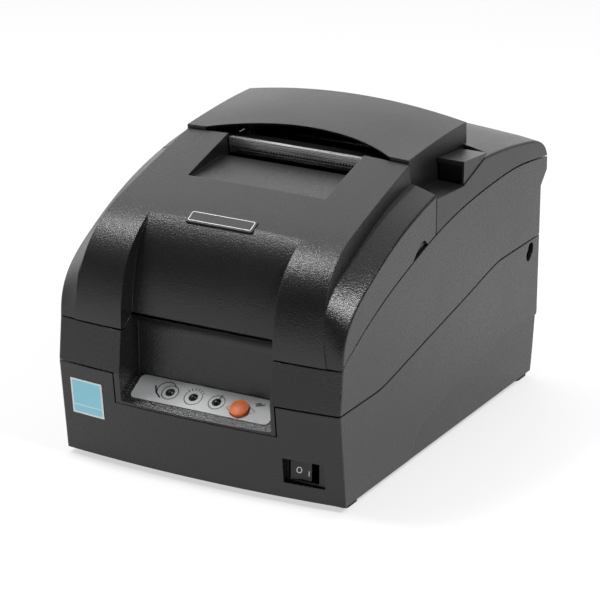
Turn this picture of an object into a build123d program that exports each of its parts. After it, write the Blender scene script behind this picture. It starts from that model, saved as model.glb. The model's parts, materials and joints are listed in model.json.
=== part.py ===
from build123d import *

import os
from math import atan2, cos, degrees, hypot, radians, sin, tan

# An impact receipt printer, in millimetres. +X is right seen from the front, -Y the front, +Z up.
# Everything is drawn with y = 0 at the case's front corners and moved to its own origin on export.

# ---- casing ----
HALF_W = 78.0            # half the width of the case
WALL = 2.2               # moulded wall thickness
CORNER_R = 1.4           # rounding of the case's outer edges
SEAM = 0.8               # visible gap between two mouldings
FLOOR_Z = 3.0            # underside of the case, above the feet
REAR_Y = 222.0           # rear face
LENGTH_SHIFT = 114.14    # from the front corners to the middle of the length
BOW = 4.6                # how far the front face bulges in plan
RISE = 5.6               # how far the top rises from x = INNER_X to the middle
INNER_X = 67.0           # where the sloping shoulder ends
SPLIT_Y = 98.0           # where the front cover meets the rear cover
SLOT_X = (-41.2, 42.3)   # side walls of the recess at the front
RIDGE_Y = 88.0           # up to here the centre's own form stands alone between its side walls
CENTRE_X = (-61.6, 63.1) # side walls of the raised centre at its highest
DOME_X = 62.4            # half width of its rear part, with upright walls
CENTRE_DRAFT = 0.095     # how much its side walls lean, sideways over height
CENTRE_TOP = 147.5
PANEL_X = 44.4           # half width of the tongue that carries the control panel
BOSS_X = 71.3            # screw bosses beside the side walls
BOSS_R = 4.2

# ---- hinges and the lever ----
FRONT_HINGE = (-0.9, 73.0)
REAR_HINGE = (229.0, 117.6)
LEVER_AXIS = (153.5, 133.0)
LEVER_X = (63.0, 77.6)
LEVER_Y = (128.7, 157.0)
HOOK_X = (56.5, 58.5)
HOOK_STUD = (159.0, 109.0)
HINGE_R = 2.6
PIN_R = 1.5
RUN_FIT = 0.05           # radial clearance of a shaft in its hole

# ---- control panel ----
TRAY_FOOT = (15.1, 45.9)
TRAY_ANGLE = 28.7
NOSE_TOP = 77.9
STICKER_T = 0.25
LABEL_T = 0.5
LED_X = (-19.0, -6.0, 7.0)
LED_RUN = 8.2            # distance down the tray from its foot to the lights
BUTTON_X = 20.5
BUTTON_RUN = 9.6
BUTTON_R = 4.75

# ---- power switch ----
SWITCH_X = (47.0, 68.5)
SWITCH_Z = (11.2, 24.2)
ROCKER_X = (48.6, 60.0)
WELL_X = 64.6            # right end of the well that the rocker sinks into
ROCKER_Z = (12.9, 22.2)
SWITCH_FACE_Y = 6.4
ROCKER_TILT = 8.0

# ---- tear-off blade ----
BLADE_Z = (137.4, 145.4)
TOOTH_Z = (140.4, 141.6)
TOOTH_PITCH = 1.7
BLADE_TEETH = 44

# ---- mechanism ----
PAPER_Y = 93.85          # plane of the paper where it is printed
FEED_AXIS = (88.7, 118.0)
FEED_R = 5.0
PINCH_R = 4.0
PINCH_AXIS = (PAPER_Y + 0.15 + PINCH_R, 118.0)
SHAFT_R = 2.5
GEAR_MODULE = 1.0
FEED_TEETH = 16
IDLER_TEETH = 29
PINION_TEETH = 12
MESH_SLACK = 0.15        # added to each pair's centre distance
GEAR_DIRECTION = (0.613, -0.790)
GEAR_X = (67.4, 71.4)
PLATE_X = 66.0
PLATE_T = 1.2
FRAME_Z = 43.0
GUIDE_AXIS = (79.0, 80.0)
GUIDE_R = 3.0
BELT_Y = 62.0
BELT_Z = (69.0, 74.0)
PULLEY_X = 53.0
PULLEY_R = 5.7
BELT_INNER = 6.0
BELT_T = 1.2
ROLL_AXIS = (172.0, 88.0)
TUB_R = 44.0
TUB_X = 41.5
TUB_T = 2.0
TUB_LEGS = ((-30, 144), (-30, 196), (30, 144), (30, 196))
NEAR_END_AXIS = (190.0, 62.0)
FRAME_LEGS = ((-58, 40), (58, 40), (-58, 110), (58, 110))
KNOB_AXIS = (-40.0, 37.0)
BOARD_Z = 12.0

# Side outlines as (y, z). The outline of the case at its outer side, where the shoulder is lowest.
SIDE_TOP = [
    (2.2, 73.3), (2.5, 79.0), (4.8, 87.0), (8.8, 93.4), (15.5, 99.8), (31.0, 109.3), (48.0, 117.7),
    (67.0, 125.0), (97.0, 132.7), (130.0, 137.0), (164.0, 136.9), (201.7, 132.4), (219.5, 127.9),
    (225.4, 124.2), (228.9, 118.1),
]
# The same line at the shoulder's inner edge.
INNER_TOP = [
    (1.2, 73.3), (0.6, 80.0), (0.9, 90.0), (3.2, 98.4), (11.0, 106.2), (27.0, 114.0), (42.0, 120.0),
    (62.0, 127.8), (97.0, 136.2), (130.0, 140.0), (164.0, 139.2), (201.7, 134.4), (219.5, 129.2),
    (225.4, 124.9), (228.9, 118.1),
]
# The raised centre at its side wall and in the middle, from the front lip to the split.
CENTRE_SIDE = [
    (0.4, 73.3), (0.0, 80.0), (0.7, 88.0), (2.2, 95.6), (4.6, 103.4), (8.2, 109.8), (13.0, 115.4),
    (20.4, 121.2), (29.7, 125.9), (43.3, 130.6), (57.0, 134.8), (76.6, 140.4), (104.0, 147.6),
]
CENTRE_MID = [
    (-1.6, 73.3), (-1.6, 80.0), (-1.0, 88.0), (0.6, 95.6), (3.4, 103.4), (7.4, 110.2), (12.2, 115.6),
    (19.6, 121.6), (29.0, 126.6), (43.0, 131.6), (57.0, 135.9), (76.6, 141.7), (104.0, 149.4),
]
DOME_SIDE = [(92.0, 147.2), (125.0, 149.7), (145.0, 150.5), (162.0, 150.5)]
DOME_MID = [(92.0, 148.4), (125.0, 153.5), (145.0, 155.8), (162.0, 156.8)]
PANEL_FACE = [
    (9.5, 60.0), (9.6, 80.0), (10.3, 90.0), (12.2, 100.0), (15.2, 109.0), (19.4, 117.0),
    (23.4, 122.0), (27.4, 125.8), (34.0, 130.4), (66.0, 146.0),
]
# Seams on the side: lower case to upper case, and upper case to the covers.
CASE_SEAM = [
    (0.0, 51.2), (36.0, 51.2), (41.0, 51.4), (52.0, 53.1), (68.4, 56.4), (103.0, 63.4), (146.0, 72.1),
    (161.0, 75.4), (172.0, 77.1), (178.0, 77.3), (240.0, 77.3),
]
COVER_SEAM = [
    (2.5, 73.3), (2.9, 74.9), (18.8, 83.9), (40.8, 94.2), (74.9, 106.0), (97.6, 112.5), (129.8, 118.5),
    (169.4, 121.9), (185.0, 122.4), (205.0, 121.2), (228.9, 118.1), (240.0, 118.1),
]
FINGER_NOTCH = [
    (72.5, 100.0), (72.5, 104.9), (81.2, 113.4), (85.9, 113.5), (90.0, 109.9), (90.0, 100.0),
]
SIDE_SLOT = [(208.5, 69.2), (210.1, 71.0), (210.6, 72.6)]
SIDE_SLOT_R = 3.1
SWOOSH = [
    (81.0, 13.5), (90.0, 17.8), (107.0, 21.8), (131.5, 26.8), (157.0, 30.9), (183.0, 35.0),
    (201.0, 35.0), (224.0, 32.4),
]


# ---- small helpers ----
def block(x, y, z):
    """A box between the two limits given for each axis."""
    centre = [(low + high) / 2 for low, high in (x, y, z)]
    size = [high - low for low, high in (x, y, z)]
    return Pos(*centre) * Box(*size)


def rod_x(x, axis, radius):
    """A cylinder along X around the point axis = (y, z)."""
    return Pos((x[0] + x[1]) / 2, *axis) * Rot(0, 90, 0) * Cylinder(radius, x[1] - x[0])


def rod_y(x, y, z, radius):
    """A cylinder along Y."""
    return Pos(x, (y[0] + y[1]) / 2, z) * Rot(90, 0, 0) * Cylinder(radius, y[1] - y[0])


def rod_z(x, y, z, radius):
    """A cylinder along Z."""
    return Pos(x, y, (z[0] + z[1]) / 2) * Cylinder(radius, z[1] - z[0])


def slab(outline, x):
    """A prism along X with the straight-sided outline of (y, z) points."""
    edges = Polyline(*[(x[0], y, z) for y, z in outline], close=True)
    return Solid.extrude(Face(Wire(edges.edges())), Vector(x[1] - x[0], 0, 0))


def both_sides(shape):
    """The shape and its mirror image across the middle plane."""
    return [shape, mirror(shape, Plane.YZ)]


def polar(centre, radius, angle):
    """The point at that angle and distance from a centre."""
    return (centre[0] + radius * cos(radians(angle)), centre[1] + radius * sin(radians(angle)))


def one(shape):
    """The single solid that a boolean left."""
    solids = sorted(shape.solids(), key=lambda solid: solid.volume)
    return solids[-1]


def blend(first, second, share):
    """Points between two outlines, point by point."""
    return [(a + (c - a) * share, b + (d - b) * share) for (a, b), (c, d) in zip(first, second)]


def inset(runs, distance):
    """Moves a closed outline, given as runs of (y, z) points that share their ends, inwards."""
    points = [point for run in runs for point in run[:-1]]
    moved = []
    for index, (y, z) in enumerate(points):
        before = points[index - 1]
        after = points[(index + 1) % len(points)]
        into = (y - before[0], z - before[1])
        out = (after[0] - y, after[1] - z)
        n1 = (into[1] / hypot(*into), -into[0] / hypot(*into))
        n2 = (out[1] / hypot(*out), -out[0] / hypot(*out))
        scale = distance / (1 + n1[0] * n2[0] + n1[1] * n2[1])
        moved.append((y + (n1[0] + n2[0]) * scale, z + (n1[1] + n2[1]) * scale))
    result = []
    start = 0
    for run in runs:
        count = len(run)
        result.append([moved[(start + step) % len(moved)] for step in range(count)])
        start += count - 1
    return result


def spacing(line):
    """Shares of a line's length at each of its points, so that splines beside it match it."""
    steps = [hypot(b[0] - a[0], b[1] - a[1]) for a, b in zip(line, line[1:])]
    return [sum(steps[:count]) / sum(steps) for count in range(len(line))]


def section(x, runs, shares=None):
    """A closed wire at one x: runs of two points are straight, longer ones are splines."""
    edges = []
    for run in runs:
        points = [Vector(x, y, z) for y, z in run]
        if len(points) == 2:
            edges.append(Edge.make_line(*points))
        else:
            edges.append(Edge.make_spline(points, parameters=shares))
    return Wire(edges)


def across(runs, left, right):
    """A prism along X whose outline is a list of runs."""
    return Solid.extrude(Face(section(left, runs)), Vector(right - left, 0, 0))


# ---- outer forms, and the same forms drawn inwards by a wall ----
def case_runs(x):
    """The whole side outline of the case at a given x."""
    bow = BOW * (1 - (x / HALF_W) ** 2)
    if abs(x) > INNER_X:
        top = blend(INNER_TOP, SIDE_TOP, (abs(x) - INNER_X) / (HALF_W - INNER_X))
    else:
        crown = RISE * (1 - (x / INNER_X) ** 2)
        swell = bow - BOW * (1 - (INNER_X / HALF_W) ** 2)
        top = []
        for y, z in INNER_TOP:
            fade = min(1.0, (REAR_Y + 7 - y) / 30) * min(1.0, max(0.0, (z - 80) / 40))
            top.append((y - swell * max(0.0, 1 - y / 60), z + crown * fade))
    top[0] = (SIDE_TOP[0][0] - bow, top[0][1])
    front_low = (6.3 - bow, FLOOR_Z)
    front_mid = (-bow, CASE_SEAM[0][1])
    rear = [top[-1], (229.0, 110.6), (REAR_Y, 103.4), (REAR_Y, 35.0), (216.0, FLOOR_Z), front_low]
    straight = [list(pair) for pair in zip(rear, rear[1:])]
    return [[front_low, front_mid], [front_mid, top[0]], top] + straight


def case_form(wall):
    """The body of the case without its raised centre, drawn inwards by wall."""
    def wire(x):
        return section(x, inset(case_runs(x), wall) if wall else case_runs(x), spacing(SIDE_TOP))

    core = Solid.make_loft([wire(-INNER_X), wire(0), wire(INNER_X)])
    edge = HALF_W - wall
    sides = [Solid.make_loft([wire(sign * INNER_X), wire(sign * edge)], ruled=True) for sign in (-1, 1)]
    form = core + sides[0] + sides[1]
    if wall:
        return form
    edges = [edge for edge in form.edges() if abs(abs(edge.center().X) - HALF_W) < 0.01]
    return fillet([edge for edge in edges if edge.center().Z > FLOOR_Z + 0.1], CORNER_R)


def centre_trim(wall):
    """The prism that leans the side walls of the raised centre."""
    left, right = CENTRE_X[0] + wall, CENTRE_X[1] - wall
    wide, narrow = CENTRE_DRAFT * (CENTRE_TOP - 60.0), CENTRE_DRAFT * (170.0 - CENTRE_TOP)
    corners = [(left - wide, 60), (right + wide, 60), (right - narrow, 170), (left + narrow, 170)]
    outline = Polyline(*[(x, -20, z) for x, z in corners], close=True)
    return Solid.extrude(Face(Wire(outline.edges())), Vector(0, 260, 0))


def dome_trim(wall):
    """The same for the rear part, where the walls stand upright."""
    return block((wall - DOME_X, DOME_X - wall), (SPLIT_Y - 10, 240), (60, 170))


def centre_form(side, mid, wall):
    """A crowned block under the line that runs from side (at the walls) to mid (in the middle)."""
    span = 72.0

    def wire(x):
        top = blend(mid, side, (x / 65.0) ** 2)
        end = (top[-1][0] + (4.0 if side is DOME_SIDE else 0.0), 73.3)
        runs = [top, [top[-1], end], [end, (top[0][0], 73.3)]]
        if top[0][1] > 73.3:
            runs.append([(top[0][0], 73.3), top[0]])
        return section(x, inset(runs, wall) if wall else runs, spacing(side))

    trim = dome_trim(wall) if side is DOME_SIDE else centre_trim(wall)
    return Solid.make_loft([wire(-span), wire(0), wire(span)]) & trim


def panel_cut(wall):
    """What is cut away in front of the sunk middle of the front cover."""
    face = [(y + wall, z - 0.55 * wall) for y, z in PANEL_FACE]
    runs = [face, [face[-1], (-30.0, face[-1][1])], [(-30.0, face[-1][1]), (-30.0, face[0][1])],
            [(-30.0, face[0][1]), face[0]]]
    return across(runs, SLOT_X[0] - wall, SLOT_X[1] + wall)


def above(seam, gap):
    """Everything over a seam line, raised by gap: straight at both ends, curved between."""
    line = [(y, z + gap) for y, z in seam]
    start, end = (-40.0, line[0][1]), (260.0, line[-1][1])
    runs = [[start, line[0]], [line[0], line[1]], line[1:-1], [line[-2], line[-1]], [line[-1], end],
            [end, (end[0], 200.0)], [(end[0], 200.0), (start[0], 200.0)], [(start[0], 200.0), start]]
    return across(runs, -90, 90)


def tray_z(y):
    """Height of the control panel's slope at y."""
    return TRAY_FOOT[1] - (TRAY_FOOT[0] - y) * tan(radians(TRAY_ANGLE))


def on_tray(x, run, rise=0.0):
    """A location on the slope: run measured down from its foot, rise square to it, z square to it."""
    angle = radians(TRAY_ANGLE)
    y = TRAY_FOOT[0] - run * cos(angle) - rise * sin(angle)
    z = TRAY_FOOT[1] - run * sin(angle) + rise * cos(angle)
    return Pos(x, y, z) * Rot(TRAY_ANGLE, 0, 0)


def slot_space(grow):
    """The recess above the control panel: slope, rear wall and the rounded nose over it."""
    foot_y = TRAY_FOOT[0] + grow
    drop = grow / cos(radians(TRAY_ANGLE))
    nose = [(foot_y, 69.5), (foot_y - 0.6, 72.6), (foot_y - 2.0, 75.2), (foot_y - 5.6, NOSE_TOP)]
    runs = [[(-30.0, tray_z(-30.0) - drop), (foot_y, tray_z(foot_y) - drop)],
            [(foot_y, tray_z(foot_y) - drop), nose[0]], nose, [nose[-1], (-30.0, NOSE_TOP)],
            [(-30.0, NOSE_TOP), (-30.0, tray_z(-30.0) - drop)]]
    return across(runs, SLOT_X[0] - grow, SLOT_X[1] + grow)


# ---- casing ----
def lower_case(outer, inner):
    """The tray of the case up to its curved seam, with its openings and bosses."""
    shell = (outer - inner) - above(CASE_SEAM, -SEAM / 2)
    shell -= block((-PANEL_X - SEAM, PANEL_X + SEAM), (-20, 24), (35.1, 60))
    for y, top in ((18.0, 30.0), (205.0, 40.0)):
        for side in both_sides(rod_z(BOSS_X, y, (FLOOR_Z, top), BOSS_R) & outer):
            shell += side
        for side in both_sides(rod_z(BOSS_X, y, (0, top + 1), 1.9) + rod_z(BOSS_X, y, (0, 8.0), 3.4)):
            shell -= side
    x, z = SWITCH_X, SWITCH_Z
    shell += block((x[0] - 2, x[1] + 2), (2.0, SWITCH_FACE_Y), (z[0] - 2, z[1] + 2)) & outer
    shell -= block(x, (-5, SWITCH_FACE_Y + 3), z)
    for low, high in ((-58, -42), (-30, -13), (-2, 12), (30, 42)):
        shell -= block((low, high), (210, 230), (13.6, 28.0))
    shell -= side_slot()
    for side in both_sides(swoosh_cut()):
        shell -= side
    return one(shell)


def side_slot():
    """The curved slot near the rear of the right side."""
    slot = rod_x((70, 80), SIDE_SLOT[0], SIDE_SLOT_R)
    for (y0, z0), (y1, z1) in zip(SIDE_SLOT, SIDE_SLOT[1:]):
        middle = Pos(75, (y0 + y1) / 2, (z0 + z1) / 2) * Rot(degrees(atan2(z1 - z0, y1 - y0)), 0, 0)
        slot += middle * Box(10, hypot(y1 - y0, z1 - z0), 2 * SIDE_SLOT_R)
        slot += rod_x((70, 80), (y1, z1), SIDE_SLOT_R)
    return slot


def swoosh_cut():
    """The shallow sweep pressed into each side, deepest along its upper edge."""
    rear_foot, front_foot = (SWOOSH[-1][0], -2.0), (70.0, -2.0)
    runs = [SWOOSH, [SWOOSH[-1], rear_foot], [rear_foot, front_foot], [front_foot, SWOOSH[0]]]
    prism = across(runs, 70.0, 82.0)
    lean = Pos(HALF_W, 150, 0) * Rot(0, -2.0, 0) * Pos(6, 0, 0) * Box(12, 200, 120)
    return prism & lean


def upper_case(outer, inner):
    """The band between the two seams, with the front recess and its tongue."""
    band = above(CASE_SEAM, SEAM / 2) - above(COVER_SEAM, -SEAM / 2)
    shell = (outer - inner) & band
    tongue = block((-PANEL_X, PANEL_X), (-20, 24), (35.5, 52))
    shell += (outer - inner) & tongue
    shell += (slot_space(WALL) & outer) & (above(CASE_SEAM, SEAM / 2) + tongue)
    shell += block(SLOT_X, (TRAY_FOOT[0] - 6, TRAY_FOOT[0] + WALL), (70, NOSE_TOP)) & outer
    shell -= slot_space(0)
    shell -= block(SLOT_X, (-20, TRAY_FOOT[0] + 0.5), (NOSE_TOP, 120))
    for clearance in front_lip_clearance():
        shell -= clearance
    for y, z in ((18.0, (30.4, 60.0)), (205.0, (40.4, 88.0))):
        boss = rod_z(BOSS_X, y, z, BOSS_R) + block((70, 77), (y - 2, y + 2), (z[1] - 8, z[1]))
        for side in both_sides(boss & outer):
            shell += side
        for side in both_sides(rod_z(BOSS_X, y, (z[0] - 1, z[0] + 14), 1.7)):
            shell -= side
    for side in both_sides(front_guide() & outer):
        shell += side
    for side in both_sides(rod_x((HOOK_X[0] - 0.6, 76.2), HOOK_STUD, 2.4)):
        shell += side
    shell -= above(COVER_SEAM, -SEAM / 2)
    for low, high in lug_spans(case=True):
        lug = rod_x((low, high), REAR_HINGE, HINGE_R)
        lug += block((low, high), (226.0, 231.6), (112.0, 117.6))
        shell += lug & block((-90, 90), (220, 231.6), (105, 125))
    for low, high in lug_spans(case=False):
        shell -= rod_x((low - 0.3, high + 0.3), REAR_HINGE, HINGE_R + 0.4)
    shell -= rod_x((-58, 58), REAR_HINGE, PIN_R)
    return one(shell)


def lug_spans(case):
    """The x spans of the rear hinge's lugs: two of the case around one of the cover, on each side."""
    spans = ((34.0, 40.0), (52.0, 58.0)) if case else ((40.3, 51.7),)
    return [span for low, high in spans for span in ((low, high), (-high, -low))]


def front_lip_clearance():
    """Room behind the posts' front walls for the front cover's lip."""
    y = FRONT_HINGE[0]
    outline = [(y + 3.0, 73.4), (y + 6.0, 70.0), (y + 16.0, 70.0), (y + 16.0, 80.0), (y + 3.0, 80.0)]
    return both_sides(slab(outline, (SLOT_X[1] + WALL, 72)))


def ring_sector(x, radii, angles):
    """Part of a ring around the front hinge's axis."""
    steps = 12
    turn = [angles[0] + (angles[1] - angles[0]) * step / steps for step in range(steps + 1)]
    outer = [polar(FRONT_HINGE, radii[1], angle) for angle in turn]
    inner = [polar(FRONT_HINGE, radii[0], angle) for angle in reversed(turn)]
    return slab(outer + inner, x)


def front_guide():
    """The curved rib behind the right post that the front cover's arm slides along."""
    return ring_sector((50.0, 59.0), (11.9, 13.6), (-82, -8))


def front_cover(outer, inner, centre, centre_inner):
    """The hinged front cover: two ridges around a sunk middle."""
    front = block((-90, 90), (-20, RIDGE_Y), (60, 200))
    solid = (outer - (centre_trim(0) & front)) + (centre - panel_cut(0))
    hollow = (inner - block((SLOT_X[0] - WALL, SLOT_X[1] + WALL), (-20, 42), (60, 160)))
    hollow += centre_inner - panel_cut(WALL)
    region = above(COVER_SEAM, SEAM / 2) & block((-90, 90), (-20, SPLIT_Y - SEAM / 2), (60, 200))
    region -= block(SLOT_X, (-20, 30), (60, 78.5))
    window = window_space(0)
    shell = (solid - window) - (hollow - window_space(WALL))
    shell = shell & region
    shell -= block((-38.2, 38.2), (92.0, 100), (100, 160))
    for side in both_sides(slab(FINGER_NOTCH, (HALF_W - 1.3, HALF_W + 1))):
        shell -= side
    for x in ((52.0, 57.0), (-57.0, -52.0)):
        shell += ring_sector(x, (9.0, 11.5), (-72, 84))
    return one(shell)


def window_space(grow):
    """The sunk window in front of the tear blade, over its sloping floor."""
    near, far = 58.0 - grow, 101.0
    floor = [(near, 134.5 - grow), (far, 138.3 - grow), (far, 165.0), (near, 165.0)]
    return slab(floor, (-38.2 - grow, 38.2 + grow))


def rear_cover(outer, inner, dome, dome_inner):
    """The hinged rear cover with its dome, mouth and lever recess."""
    solid = outer + dome
    hollow = inner + dome_inner
    region = above(COVER_SEAM, SEAM / 2) & block((-90, 90), (SPLIT_Y + SEAM / 2, 240), (60, 200))
    shell = (solid - lever_space(0)) - (hollow - lever_space(WALL))
    shell = shell & region
    shell -= paper_mouth()
    shell -= rod_x((50, 77.0), LEVER_AXIS, PIN_R + RUN_FIT)
    shell += rod_x((-76.2, -69.6), LEVER_AXIS, 3.0) & outer
    shell -= rod_x((-75.0, -69.0), LEVER_AXIS, PIN_R + RUN_FIT)
    for low, high in lug_spans(case=False):
        lug = rod_x((low, high), REAR_HINGE, HINGE_R)
        lug += block((low, high), (225.6, 230.4), (118.0, 121.0))
        shell += lug & block((-90, 90), (220, 231.6), (105, 121))
    for low, high in lug_spans(case=True):
        shell -= rod_x((low - 0.3, high + 0.3), REAR_HINGE, HINGE_R + 0.4)
    shell -= rod_x((-58.2, 58.2), REAR_HINGE, PIN_R + RUN_FIT)
    return one(shell)


def lever_space(grow):
    """The recess for the cover lever, open to the side above the skirt's rising edge."""
    floor = [(SPLIT_Y - 2, 131.2 - grow), (128.0, 129.2 - grow), (159.0 + grow, 129.2 - grow),
             (159.0 + grow, 165.0), (SPLIT_Y - 2, 165.0)]
    pocket = slab(floor, (50, 75.6 + grow)) - dome_trim(grow)
    if grow:
        return pocket
    return pocket + slab(skirt_edge() + [(157.4, 165.0), (SPLIT_Y - 2, 165.0)], (75.0, 90.0))


def skirt_edge():
    """The rising edge of the rear cover's side under the lever."""
    return [(SPLIT_Y - 2, 131.2), (128.0, 129.2), (136.0, 131.8), (150.5, 136.7), (157.4, 139.7)]


def paper_mouth():
    """The crescent between the blade and the arched, undercut lip of the rear cover."""
    lip = Edge.make_three_point_arc(Vector(-52, 98, 0), Vector(0, 116.9, 0), Vector(52, 98, 0))
    front = Polyline((52, 98, 0), (52, 90, 0), (-52, 90, 0), (-52, 98, 0))
    face = Face(Wire([lip] + front.edges()))
    return Pos(0, 7.0, 141.0) * Solid.extrude(face, Vector(0, -40, 40))


def cover_lever():
    """A flat-topped block with an undercut front that a fingertip lifts."""
    front, rear = LEVER_Y
    outline = [(front, 130.0), (front, 141.5), (rear - 2.3, 139.3), (rear, 138.0), (rear - 0.4, 130.0)]
    body = slab(outline, LEVER_X)
    body -= block((LEVER_X[0] - 1, LEVER_X[1] - 1.2), (120, front + 2.7), (120, 139.2))
    skirt = [(90.0, 100.0), (90.0, 131.7)] + [(y, z + 0.5) for y, z in skirt_edge()]
    body -= slab(skirt + [(170.0, 140.2), (170.0, 100.0)], (75.2, 90))
    return one(body - rod_x((60, 80), LEVER_AXIS, PIN_R))


def latch_shaft():
    """The shaft that the lever turns, across the whole rear cover."""
    return rod_x((-74.0, 76.6), LEVER_AXIS, PIN_R)


def latch_hooks():
    """A hook at each end of the shaft that catches a stud of the upper case."""
    y, z = LEVER_AXIS
    shape = [(y - 2.6, z + 1.0), (y + 2.6, z + 1.0), (y + 2.2, 112.6), (y + 1.6, 106.2),
             (y + 6.4, 106.0), (y + 5.0, 103.4), (y - 2.4, 103.4)]
    hooks = []
    for x in (HOOK_X, (-HOOK_X[1], -HOOK_X[0])):
        hook = slab(shape, x) + rod_x(x, LEVER_AXIS, 3.0)
        hooks.append(one(hook - rod_x(x, LEVER_AXIS, PIN_R)))
    return Compound(hooks)


# ---- control panel ----
def panel_label():
    """A thin silver plate on the slope, with holes for the lights and the button."""
    blank = extrude(RectangleRounded(77, 15.0, 2.6), LABEL_T / 2, both=True)
    plate = on_tray(0, 7.9, LABEL_T / 2) * blank
    for x in LED_X:
        plate -= on_tray(x, LED_RUN) * Cylinder(2.45, 4)
    plate -= on_tray(BUTTON_X, BUTTON_RUN) * Cylinder(BUTTON_R + 0.35, 4)
    return one(plate)


def panel_holes(case):
    """The holes under the label, through the case's slope."""
    for x in LED_X:
        case -= on_tray(x, LED_RUN) * Cylinder(2.45, 12)
    return one(case - on_tray(BUTTON_X, BUTTON_RUN) * Cylinder(BUTTON_R + 0.35, 12))


def status_lights():
    """Three round light guides with domed tops."""
    lights = []
    for x in LED_X:
        stem = on_tray(x, LED_RUN, -3.1) * Cylinder(2.3, 7.2)
        dome = on_tray(x, LED_RUN, -0.9) * Sphere(2.6)
        lights.append(one(stem + (dome & on_tray(x, LED_RUN, 2.0) * Cylinder(2.3, 6.0))))
    return Compound(lights)


def feed_button():
    """A flanged cap with a shallow crown."""
    cap = on_tray(BUTTON_X, BUTTON_RUN, -0.9) * Cylinder(BUTTON_R, 6.2)
    cap += on_tray(BUTTON_X, BUTTON_RUN, -4.2) * Cylinder(BUTTON_R + 1.2, 1.2)
    crown = on_tray(BUTTON_X, BUTTON_RUN, -13.4) * Sphere(16.3)
    cap += crown & on_tray(BUTTON_X, BUTTON_RUN, 2.4) * Cylinder(BUTTON_R - 0.3, 2.4)
    return one(cap)


def panel_board():
    """The small board behind the control panel, with the button's switch."""
    board = on_tray(0, 8.4, -7.6) * Box(76, 13.0, 1.4)
    board += on_tray(BUTTON_X, BUTTON_RUN, -6.6) * Box(5, 5, 1.0)
    return one(board)


# ---- power switch ----
def power_switch():
    """The body of the switch: a bezel, a well for the rocker and three terminals."""
    x, z = SWITCH_X, SWITCH_Z
    bezel = block((x[0] + 0.1, x[1] - 0.1), (SWITCH_FACE_Y - 1.0, SWITCH_FACE_Y + 2.0),
                  (z[0] + 0.1, z[1] - 0.1))
    body = bezel + block((x[0] + 0.4, WELL_X + 1.8), (SWITCH_FACE_Y, 22.0), (12.0, 23.2))
    rx = (ROCKER_X[0] - 0.4, WELL_X)
    rz = (ROCKER_Z[0] - 0.4, ROCKER_Z[1] + 0.4)
    body -= block(rx, (0, SWITCH_FACE_Y + 7.0), rz)
    for tab in (52.0, 56.0, 60.0):
        body += block((tab - 0.4, tab + 0.4), (22.0, 27.0), (15.0, 20.0))
    return one(body)


def rocker_pivot():
    """The (x, y) of the upright axis that the rocker tilts about."""
    return ((ROCKER_X[0] + ROCKER_X[1]) / 2, SWITCH_FACE_Y + 3.0)


def power_rocker():
    """A shallow V seen from above, standing with its right half pressed in."""
    px, py = rocker_pivot()
    half = (ROCKER_X[1] - ROCKER_X[0]) / 2 - 0.35
    lift = tan(radians(ROCKER_TILT)) * half
    points = [(-half, -3.4 - lift), (0, -3.1), (half, -3.4 - lift), (half - 1.2, 1.6),
              (-half + 1.2, 1.6)]
    outline = Polyline(*[(x, y, ROCKER_Z[0]) for x, y in points], close=True)
    body = Solid.extrude(Face(Wire(outline.edges())), Vector(0, 0, ROCKER_Z[1] - ROCKER_Z[0]))
    return Pos(px, py, 0) * Rot(0, 0, ROCKER_TILT) * body


# ---- mechanism ----
def gear(teeth, phase, x, axis, bore):
    """A spur gear around an axis along X, with tapered teeth and one tooth at the angle phase."""
    pitch = GEAR_MODULE * teeth / 2
    root, tip = pitch - 1.2 * GEAR_MODULE, pitch + 0.9 * GEAR_MODULE
    step = 360 / teeth
    outline = []
    for tooth in range(teeth):
        middle = phase + tooth * step
        for radius, share in ((root, -0.33), (tip, -0.12), (tip, 0.12), (root, 0.33)):
            outline.append(polar(axis, radius, middle + share * step))
    return one(slab(outline, x) - rod_x((x[0] - 1, x[1] + 1), axis, bore))


def gear_axes():
    """Where the idler gear and the motor's pinion turn."""
    uy, uz = GEAR_DIRECTION
    first = GEAR_MODULE * (FEED_TEETH + IDLER_TEETH) / 2 + MESH_SLACK
    second = first + GEAR_MODULE * (IDLER_TEETH + PINION_TEETH) / 2 + MESH_SLACK
    idler = (FEED_AXIS[0] + uy * first, FEED_AXIS[1] + uz * first)
    motor = (FEED_AXIS[0] + uy * second, FEED_AXIS[1] + uz * second)
    return idler, motor


def gear_parts():
    """The three feed gears, each turned so that its teeth mesh."""
    idler, motor = gear_axes()
    angle = degrees(atan2(GEAR_DIRECTION[1], GEAR_DIRECTION[0]))
    feed = gear(FEED_TEETH, angle, GEAR_X, FEED_AXIS, SHAFT_R)
    middle = gear(IDLER_TEETH, angle + 180 + 180 / IDLER_TEETH, GEAR_X, idler, 2.0 + RUN_FIT)
    pinion = gear(PINION_TEETH, angle + 180 + 180 / PINION_TEETH, GEAR_X, motor, 1.0)
    return feed, middle, pinion


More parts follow.
